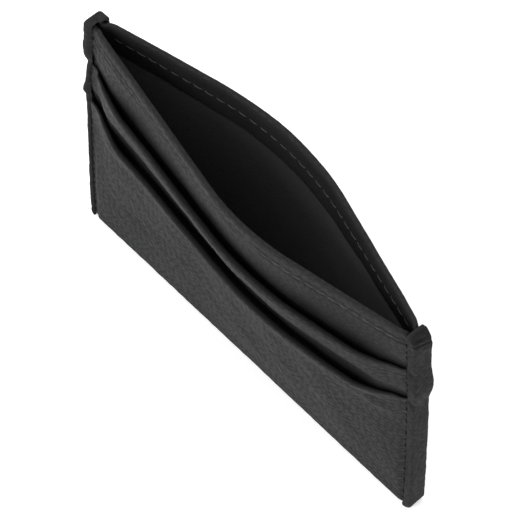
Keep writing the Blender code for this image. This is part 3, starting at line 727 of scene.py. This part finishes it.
def binding_ring(v, closing, hand, seed):
    """One ring of a binding at height v. closing runs from 0 to 1 over the folded top."""
    side, front_arm, back_arm = swells(v, hand)
    edge = WIDTH / 2 + 0.2 * MM
    tip = ARM_TIP + 0.06 * MM * math.cos(2 * math.pi * v / STITCH) + 0.06 * MM * waves(v, 0, seed, 9 * MM)
    front_tip = tip + FRONT_SHORT[hand] * (1 - 0.5 * ramp(v, MIDDLE_LIP, MIDDLE_LIP + 3 * MM))
    tips = (front_tip, tip)
    outer = section(tips, (0.42 * MM, 0.1 * MM), edge, HALF_EDGE, BEND, SECTION_STEPS)
    inner = section(tips, (0.12 * MM, 0), edge - BINDING, HALF_EDGE - BINDING, BEND / 2, 4)
    tip = np.where(outer[:, 1] < 0, front_tip, tip)
    near_side = ramp(outer[:, 0], edge - 1.6 * MM, edge)
    on_front = ramp(-outer[:, 1], 0.4 * HALF_EDGE, HALF_EDGE)
    arm = ramp(outer[:, 0] - tip, 0, 0.9 * MM)
    step = np.arange(len(outer)) * 0.32 * MM
    rough = (0.05 * MM * waves(v + 0 * step, step, seed, 6 * MM)
             + 0.02 * MM * waves(v + 0 * step, step, seed + 9, 2 * MM))
    dent = 0.7 * MM * (bell(v, MIDDLE_LIP + 0.6 * MM, 1.3 * MM) + bell(v, OUTER_LIP + 0.2 * MM, 1.2 * MM))
    dent = dent * on_front * bell(outer[:, 0], edge - 0.9 * MM, 0.8 * MM)
    crease = CAP_PRESS[hand] * bell(v, CAP_CREASE, 0.28 * MM) * near_side
    outer[:, 0] += near_side * (side + rough) - crease - 0.7 * dent
    swollen = np.where(outer[:, 1] < 0, front_arm, back_arm)
    outer[:, 1] *= 1 + arm * (swollen + rough) / HALF_EDGE
    outer[:, 1] = outer[:, 1] - np.sign(outer[:, 1]) * dent + BACK_EXTRA * ramp(outer[:, 1], 0, HALF_EDGE)
    heights = [np.full(len(outer), v), np.full(len(inner), min(v, CAP_TOP - CAP_ROUND))]
    if closing > 0:
        keep = math.cos(closing * math.pi / 2) ** CAP_POWER if closing < 1 else 0.0
        rise = math.sin(closing * math.pi / 2) ** CAP_POWER
        for line, height, ceiling in ((outer, heights[0], CAP_TOP), (inner, heights[1], CAP_TOP - BINDING)):
            line[:, 1] *= keep
            line[:, 0] = mix(np.minimum(line[:, 0], edge + side - 0.3 * MM), line[:, 0], keep)
            height[:] = mix(CAP_TOP - CAP_ROUND, ceiling, rise)
        for offset, depth in ((0.25 * MM, 0.4 * MM), (-0.9 * MM, 0.25 * MM)):
            pit = depth * bell(outer[:, 0], edge - 1.1 * MM, 0.5 * MM)
            heights[0] -= pit * bell(outer[:, 1], offset, 0.4 * MM)
        heights[0] -= 0.12 * MM * closing ** 8
    near_top = ramp(v, CAP_TOP - CAP_ROUND - 6 * MM, CAP_TOP - CAP_ROUND)
    slope = CAP_SLOPE[hand] * mix(0.3, 1.0, ramp(outer[:, 1], -HALF_EDGE, HALF_EDGE))
    heights[0] -= near_top * slope * ramp(outer[:, 0], edge - 2.0 * MM, edge + side)
    ring = np.concatenate([outer, inner[::-1]])
    return np.column_stack([ring, np.concatenate([heights[0], heights[1][::-1]])]), len(outer)


def make_binding(name, hand, seed):
    low = CAP_TOP - CAP_ROUND
    heights = np.concatenate([spread(0, 70 * MM, 0.28 * MM), spread(70 * MM, low, 0.14 * MM)[1:]])
    places = [(v, 0.0) for v in heights] + [(low, share) for share in np.linspace(0, 1, 13)[1:]]
    rings = [binding_ring(v, closing, hand, seed) for v, closing in places]
    outer_count = rings[0][1]
    stack = np.array([ring for ring, _ in rings]).transpose(1, 0, 2)
    across, through, height = stack[..., 0] * hand, stack[..., 1], stack[..., 2]
    points = wrap(across, height, through)
    flat = np.zeros(points.shape)
    middle = stack[:, stack.shape[1] // 2, :2]
    steps = np.linalg.norm(np.diff(middle, axis=0), axis=1)
    flat[..., 0] = np.concatenate([[0], np.cumsum(steps)])[:, None] + 0.2 * hand
    flat[..., 1] = height
    grain, wear = np.zeros(points.shape[:2]), np.zeros(points.shape[:2])
    grain[:outer_count] = 0.2
    order = np.arange(outer_count)
    bends = bell(order, 1.5 * SECTION_STEPS, 3) + bell(order, outer_count - 1.5 * SECTION_STEPS, 3)
    wear[:outer_count] = 0.1 * bends[:, None] + 0.7 * ramp(height[:outer_count], low, CAP_TOP)
    base = ring_mesh(name + "_base", points, flat, grain, wear)
    return grow(name, base, press,
                {"Pebble Depth": 0.015 * MM, "Seed": float(seed), "Finish": binding_finish})


leather_pieces["left_binding"] = make_binding("left_binding_leather", -1, 3)
leather_pieces["right_binding"] = make_binding("right_binding_leather", 1, 4)
print("bindings:", len(leather_pieces["left_binding"].data.polygons), "faces each")

# %% [markdown]
# ## The lining cloth
# A dark, fine twill, glued to the boards and caught in the side seams. Real twill of this kind has
# three or four ribs to a millimetre, too fine to show here, so its ribs are drawn 0.45 mm apart.

# %% Lining
LINING_IN, LINING, LINING_TOP, LINING_FOOT = 0.25 * MM, 0.2 * MM, 66.8 * MM, 0.95 * MM
TWILL = 0.45 * MM


def cloth_material(name, hex_value, pitch, bump, ribs=True):
    material, tree, shader = start_material(name)
    place_on_sheet = add(tree, "ShaderNodeAttribute", attribute_name="flat").outputs["Vector"]
    turned = add(tree, "ShaderNodeMapping", {"Vector": place_on_sheet, "Rotation": (0, 0, math.radians(52)),
                                             "Scale": (1 / pitch,) * 3}).outputs[0]
    wave = add(tree, "ShaderNodeTexWave", {"Vector": turned, "Scale": 0.314, "Distortion": 0.6,
                                           "Detail": 1.0, "Detail Scale": 2.0}, bands_direction="X")
    across = add(tree, "ShaderNodeTexWave", {"Vector": turned, "Scale": 0.7, "Distortion": 0.3},
                 bands_direction="Y")
    weave = add(tree, "ShaderNodeMath", {0: across.outputs["Fac"], 1: 0.35, 2: wave.outputs["Fac"]},
                operation="MULTIPLY_ADD").outputs[0]
    fuzz = add(tree, "ShaderNodeTexNoise", {"Vector": turned, "Scale": 0.5, "Detail": 4.0}).outputs["Fac"]
    level = add(tree, "ShaderNodeMapRange", {0: weave, 1: 0.0, 2: 1.35, 3: 0.72, 4: 1.12}).outputs[0]
    spots = add(tree, "ShaderNodeMapRange", {0: fuzz, 1: 0.3, 2: 0.7, 3: 0.82, 4: 1.18}).outputs[0]
    level = add(tree, "ShaderNodeMath", {0: level, 1: spots}, operation="MULTIPLY").outputs[0]
    shade = add(tree, "ShaderNodeMix", {0: 1.0, 6: linear(hex_value), 7: level}, data_type="RGBA",
                blend_type="MULTIPLY").outputs[2]
    tree.links.new(shade, shader.inputs["Base Color"])
    shader.inputs["Roughness"].default_value = 0.92
    shader.inputs["Sheen Weight"].default_value = 0.12
    shader.inputs["Sheen Roughness"].default_value = 0.5
    shader.inputs["Specular IOR Level"].default_value = 0.3
    relief = add(tree, "ShaderNodeBump", {"Height": weave, "Strength": bump, "Distance": 0.08 * MM})
    tree.links.new(relief.outputs[0], shader.inputs["Normal"])
    return material


def make_lining(name, side, finish):
    foot, top = LINING_FOOT, LINING_TOP
    inside = spread(foot, top, 0.8 * MM)
    outside = spread(top, foot, 4 * MM)
    cloth_u = spread(-EDGE_HALF, EDGE_HALF, 0.8 * MM)
    v = np.concatenate([inside, outside])[:, None] + 0 * cloth_u
    depth = np.concatenate([np.full(len(inside), LINING_IN),
                            np.full(len(outside), LINING_IN + LINING)])[:, None]
    u = cloth_u + 0 * v
    uneven = 0.07 * MM * waves(u, v, 21 + side, 13 * MM) * (1 - at_seam(u))
    points = place(u, v, depth + uneven * 0.8, side)
    flat = flat_places(points, cloth_u)
    piece = ring_mesh(name, points, flat, 0.0, 0.0)
    piece.data.materials.append(finish)
    return piece


lining_finish = cloth_material("fine_black_twill", "#1c1c1d", TWILL, 0.15)
linings = {word: make_lining(word + "_lining_cloth", side, lining_finish)
           for word, side in (("front", FRONT), ("back", BACK))}
print("lining:", len(linings["front"].data.polygons), "faces each")

# %% [markdown]
# ## Sewing
# Bonded polyester thread, about 0.3 mm thick, about three and a half stitches to ten millimetres. Each
# stitch leaves one needle hole and dives into the next, so it is highest in its middle. The tree
# walks along a seam line, puts one bent stitch at every step and turns it to the leather.
# A lockstitch leans a little in its holes, and the edge seams lean left and right in turn.

# %% Stitch tree
def thread_material(name, hex_value, rough, shine):
    material, tree, shader = start_material(name)
    along = add(tree, "ShaderNodeTexCoord").outputs["Object"]
    ply = add(tree, "ShaderNodeTexWave", {"Vector": along, "Scale": 0.9 / MM, "Distortion": 1.0},
              wave_type="BANDS", bands_direction="DIAGONAL")
    tone = add(tree, "ShaderNodeMapRange", {0: ply.outputs["Fac"], 3: 0.75, 4: 1.2}).outputs[0]
    shade = add(tree, "ShaderNodeMix", {0: 1.0, 6: linear(hex_value), 7: tone}, data_type="RGBA",
                blend_type="MULTIPLY").outputs[2]
    tree.links.new(shade, shader.inputs["Base Color"])
    shader.inputs["Roughness"].default_value = rough
    shader.inputs["Specular IOR Level"].default_value = shine
    relief = add(tree, "ShaderNodeBump",
                 {"Height": ply.outputs["Fac"], "Strength": 0.4, "Distance": 0.03 * MM})
    tree.links.new(relief.outputs[0], shader.inputs["Normal"])
    return material


lip_thread = thread_material("bonded_polyester_thread", "#262627", 0.42, 0.45)
# The side seams take a darker, duller copy of the same thread: its darker colour is painted shade
shade_darkened_thread = thread_material("matt_polyester_thread_darkened_for_shade", "#0f0f10", 0.75, 0.08)

sew, sew_in, sew_out = new_tree("sew_seam", [
    ("Stitch Length", "NodeSocketFloat", STITCH), ("Hole Gap", "NodeSocketFloat", 0.4 * MM),
    ("Thread", "NodeSocketFloat", 0.3 * MM), ("Height", "NodeSocketFloat", 0.05 * MM),
    ("Lean", "NodeSocketFloat", 0.0), ("Lean In Turn", "NodeSocketFloat", 0.0),
    ("Finish", "NodeSocketMaterial", None)])
seam = add(sew, "GeometryNodeMeshToCurve", {"Mesh": sew_in.outputs["Geometry"]})
steps = add(sew, "GeometryNodeResampleCurve", {"Curve": seam.outputs[0],
                                               "Length": sew_in.outputs["Stitch Length"]}, mode="LENGTH")
outward = add(sew, "GeometryNodeInputNamedAttribute", {"Name": "outward"}, data_type="FLOAT_VECTOR")
turned = add(sew, "FunctionNodeAxesToRotation", {0: add(sew, "GeometryNodeInputTangent").outputs[0],
                                                 1: outward.outputs[0]}, primary_axis="X", secondary_axis="Z")
count_along = add(sew, "GeometryNodeInputIndex")
odd = add(sew, "ShaderNodeMath", {0: count_along.outputs[0], 1: 2.0}, operation="MODULO")
sign = add(sew, "ShaderNodeMapRange", {0: odd.outputs[0], 3: -1.0, 4: 1.0})
lean = add(sew, "ShaderNodeMath", {0: sign.outputs[0], 1: sew_in.outputs["Lean In Turn"],
                                   2: sew_in.outputs["Lean"]}, operation="MULTIPLY_ADD")
leaning = add(sew, "FunctionNodeRotateRotation", {
    0: turned.outputs[0],
    1: add(sew, "FunctionNodeEulerToRotation", {0: add(sew, "ShaderNodeCombineXYZ", {2: lean.outputs[0]}
                                                       ).outputs[0]}).outputs[0]}, rotation_space="LOCAL")
reach = add(sew, "ShaderNodeMath", {0: sew_in.outputs["Stitch Length"], 1: sew_in.outputs["Hole Gap"]},
            operation="SUBTRACT")
half = add(sew, "ShaderNodeMath", {0: reach.outputs[0], 1: 0.5}, operation="MULTIPLY")
minus_half = add(sew, "ShaderNodeMath", {0: half.outputs[0], 1: -1.0}, operation="MULTIPLY")
dive = add(sew, "ShaderNodeMath", {0: sew_in.outputs["Thread"], 1: -0.9}, operation="MULTIPLY")
crown = add(sew, "ShaderNodeMath", {0: sew_in.outputs["Height"], 1: 3.0}, operation="MULTIPLY")
bend = add(sew, "GeometryNodeCurvePrimitiveBezierSegment", {
    "Resolution": 7,
    "Start": add(sew, "ShaderNodeCombineXYZ", {0: minus_half.outputs[0], 2: dive.outputs[0]}).outputs[0],
    "Start Handle": add(sew, "ShaderNodeCombineXYZ",
                        {0: minus_half.outputs[0], 2: crown.outputs[0]}).outputs[0],
    "End Handle": add(sew, "ShaderNodeCombineXYZ", {0: half.outputs[0], 2: crown.outputs[0]}).outputs[0],
    "End": add(sew, "ShaderNodeCombineXYZ", {0: half.outputs[0], 2: dive.outputs[0]}).outputs[0]})
thread_round = add(sew, "GeometryNodeCurvePrimitiveCircle", {
    "Resolution": 6,
    "Radius": add(sew, "ShaderNodeMath", {0: sew_in.outputs["Thread"], 1: 0.5},
                  operation="MULTIPLY").outputs[0]})
stitch = add(sew, "GeometryNodeCurveToMesh", {
    "Curve": bend.outputs[0], "Profile Curve": thread_round.outputs[0],
                                              "Fill Caps": True})
sewn = add(sew, "GeometryNodeInstanceOnPoints", {"Points": steps.outputs[0], "Instance": stitch.outputs[0],
                                                 "Rotation": leaning.outputs[0]})
sewn = add(sew, "GeometryNodeRealizeInstances", {"Geometry": sewn.outputs[0]})
sewn = add(sew, "GeometryNodeSetMaterial",
           {"Geometry": sewn.outputs[0], "Material": sew_in.outputs["Finish"]})
sew.links.new(sewn.outputs[0], sew_out.inputs[0])
print("sew_seam:", len(sew.nodes), "nodes")


# %% Seams
def sew_line(name, line, outward_line, values):
    """One row of stitches along a line of points, each with the direction away from the leather."""
    mesh = bpy.data.meshes.new(name + "_base")
    mesh.from_pydata(line.tolist(), [(i, i + 1) for i in range(len(line) - 1)], [])
    add_attribute(mesh, "outward", "FLOAT_VECTOR", outward_line)
    row = grow(name, link(name + "_base", mesh), sew, values)
    row.data.shade_smooth()
    return row


def surface_line(u, v, depth, side, facing):
    """Points on a bent layer and the direction that its face looks."""
    step = 0.05 * MM
    line = place(u, v, depth, side)
    beyond = place(u, v, depth + step, side) - line
    beyond = beyond / np.linalg.norm(beyond, axis=1)[:, None]
    return line, beyond * facing


seam_rows = {}
lip_u = spread(-44 * MM, 44 * MM, 0.5 * MM)
lip_v = np.full(len(lip_u), HEIGHT - LIP_SEAM_DROP)
for word, side in (("front", FRONT), ("back", BACK)):
    face = wall_out(lip_u, lip_v)
    needle = surface_line(lip_u, lip_v, face + lip_dents(lip_u, lip_v, HEIGHT, 1.0) + 0.06 * MM, side, 1)
    bobbin = surface_line(lip_u, lip_v, face - wall_thickness(lip_u) - 0.02 * MM, side, -1)
    seam_rows[word + "_lip_needle_thread"] = sew_line(word + "_lip_needle_stitches", *needle,
                                                      {"Lean": 0.06, "Finish": lip_thread})
    seam_rows[word + "_lip_bobbin_thread"] = sew_line(word + "_lip_bobbin_stitches", *bobbin,
                                                      {"Lean": -0.04, "Finish": lip_thread})
    for edge, hand in (("left", -1), ("right", 1)):
        seam_v = spread(2.5 * MM, 70.5 * MM, 0.4 * MM)
        less_above = 1 - 0.5 * ramp(seam_v, MIDDLE_LIP, MIDDLE_LIP + 3 * MM)
        short = FRONT_SHORT[hand] * (side == FRONT) * less_above
        seam_u = hand * (ARM_TIP + short - 0.25 * MM)
        cover = np.where(seam_v < OUTER_LIP, outer_out(seam_u, seam_v),
                         np.where(seam_v < MIDDLE_LIP, middle_out(seam_u, seam_v), wall_out(seam_u, seam_v)))
        rows = surface_line(seam_u, seam_v, cover - 0.06 * MM, side, 1)
        seam_rows[f"{word}_{edge}_seam_thread"] = sew_line(
            f"{word}_{edge}_seam_stitches", *rows,
            {"Lean In Turn": 0.22, "Hole Gap": 0.2 * MM, "Thread": 0.26 * MM, "Finish": shade_darkened_thread})
print("stitch rows:", {key: len(row.data.polygons) for key, row in seam_rows.items()})

# %% [markdown]
# ## Pieces that stay as they are
# The pocket tails and the boards lie between other layers, and their solids already have the right
# shape. They keep it and get a finish: a plain weave, and a grey bonded fibre board.

# %% Hidden layers
def object_material(name, hex_value, pitch, rough, contrast):
    material, tree, shader = start_material(name)
    here = add(tree, "ShaderNodeTexCoord").outputs["Object"]
    fibres = add(tree, "ShaderNodeTexNoise", {"Vector": here, "Scale": 1 / pitch, "Detail": 5.0,
                                              "Roughness": 0.65}).outputs["Fac"]
    level = add(tree, "ShaderNodeMapRange", {0: fibres, 1: 0.3, 2: 0.7, 3: 1 - contrast, 4: 1 + contrast})
    shade = add(tree, "ShaderNodeMix", {0: 1.0, 6: linear(hex_value), 7: level.outputs[0]}, data_type="RGBA",
                blend_type="MULTIPLY").outputs[2]
    tree.links.new(shade, shader.inputs["Base Color"])
    shader.inputs["Roughness"].default_value = rough
    relief = add(tree, "ShaderNodeBump", {"Height": fibres, "Strength": 0.4, "Distance": 0.05 * MM})
    tree.links.new(relief.outputs[0], shader.inputs["Normal"])
    return material


board_finish = object_material("bonded_fibre_board", "#4d4a46", 0.8 * MM, 0.9, 0.25)
tail_finish = object_material("plain_woven_pocket_cloth", "#19191a", 0.4 * MM, 0.88, 0.2)
for node_name, solid in frame["nodes"].items():
    finish = board_finish if "stiffener" in node_name else tail_finish if "tail" in node_name else None
    if finish:
        for i in range(len(solid.material_slots)):
            solid.material_slots[i].material = finish
print("hidden layers:", [n for n in frame["nodes"] if "stiffener" in n or "tail" in n])

# %% [markdown]
# ## Riding and replacing
# Each piece moves with the only body and stands for its solid, which is hidden.

for node_name, piece in leather_pieces.items():
    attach(piece, "root")
    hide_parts(node_name)
for node_name, row in seam_rows.items():
    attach(row, "root")
    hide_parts(node_name)
for word, cloth in linings.items():
    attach(cloth, "root")
    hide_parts(word + "_lining")
print("declared:", len(leather_pieces) + len(linings) - 2, "sheets")

# %% [markdown]
# ## Floor and light
# A plain pale sweep that glows a little, like a lit table, and soft daylight from all round, with one
# large soft box in front and a smaller, weaker one behind on the left.

# %% Floor and lights
floor_mesh = bpy.data.meshes.new("floor")
floor_mesh.from_pydata([(-3, -3, 0), (3, -3, 0), (3, 3, 0), (-3, 3, 0)], [], [(0, 1, 2, 3)])
floor = link("floor", floor_mesh)
floor_finish, floor_tree, floor_shader = start_material("white_paper_sweep")
floor_shader.inputs["Base Color"].default_value = linear("#f6f6f6")
floor_shader.inputs["Roughness"].default_value = 0.9
floor_shader.inputs["Emission Color"].default_value = (1, 1, 1, 1)
floor_shader.inputs["Emission Strength"].default_value = 0.38      # a lit table, so shadows stay pale
floor.data.materials.append(floor_finish)

world = bpy.data.worlds.new("soft_white_room")
world.use_nodes = True
world.node_tree.nodes["Background"].inputs[0].default_value = (1, 1, 1, 1)
world.node_tree.nodes["Background"].inputs[1].default_value = 0.88
bpy.context.scene.world = world
bpy.context.scene.view_settings.view_transform = "Standard"


def soft_box(name, place_at, size, power):
    lamp = bpy.data.lights.new(name, "AREA")
    lamp.size, lamp.energy = size, power
    holder = bpy.data.objects.new(name, lamp)
    bpy.context.scene.collection.objects.link(holder)
    holder.location = place_at
    holder.rotation_mode = "QUATERNION"
    holder.rotation_quaternion = (AIM - Vector(place_at)).to_track_quat("-Z", "Y")
    return holder


soft_box("key_box", (-0.3, -1.1, 0.7), 0.7, 9)
soft_box("rim_box", (-0.8, 0.7, 0.8), 0.5, 4)
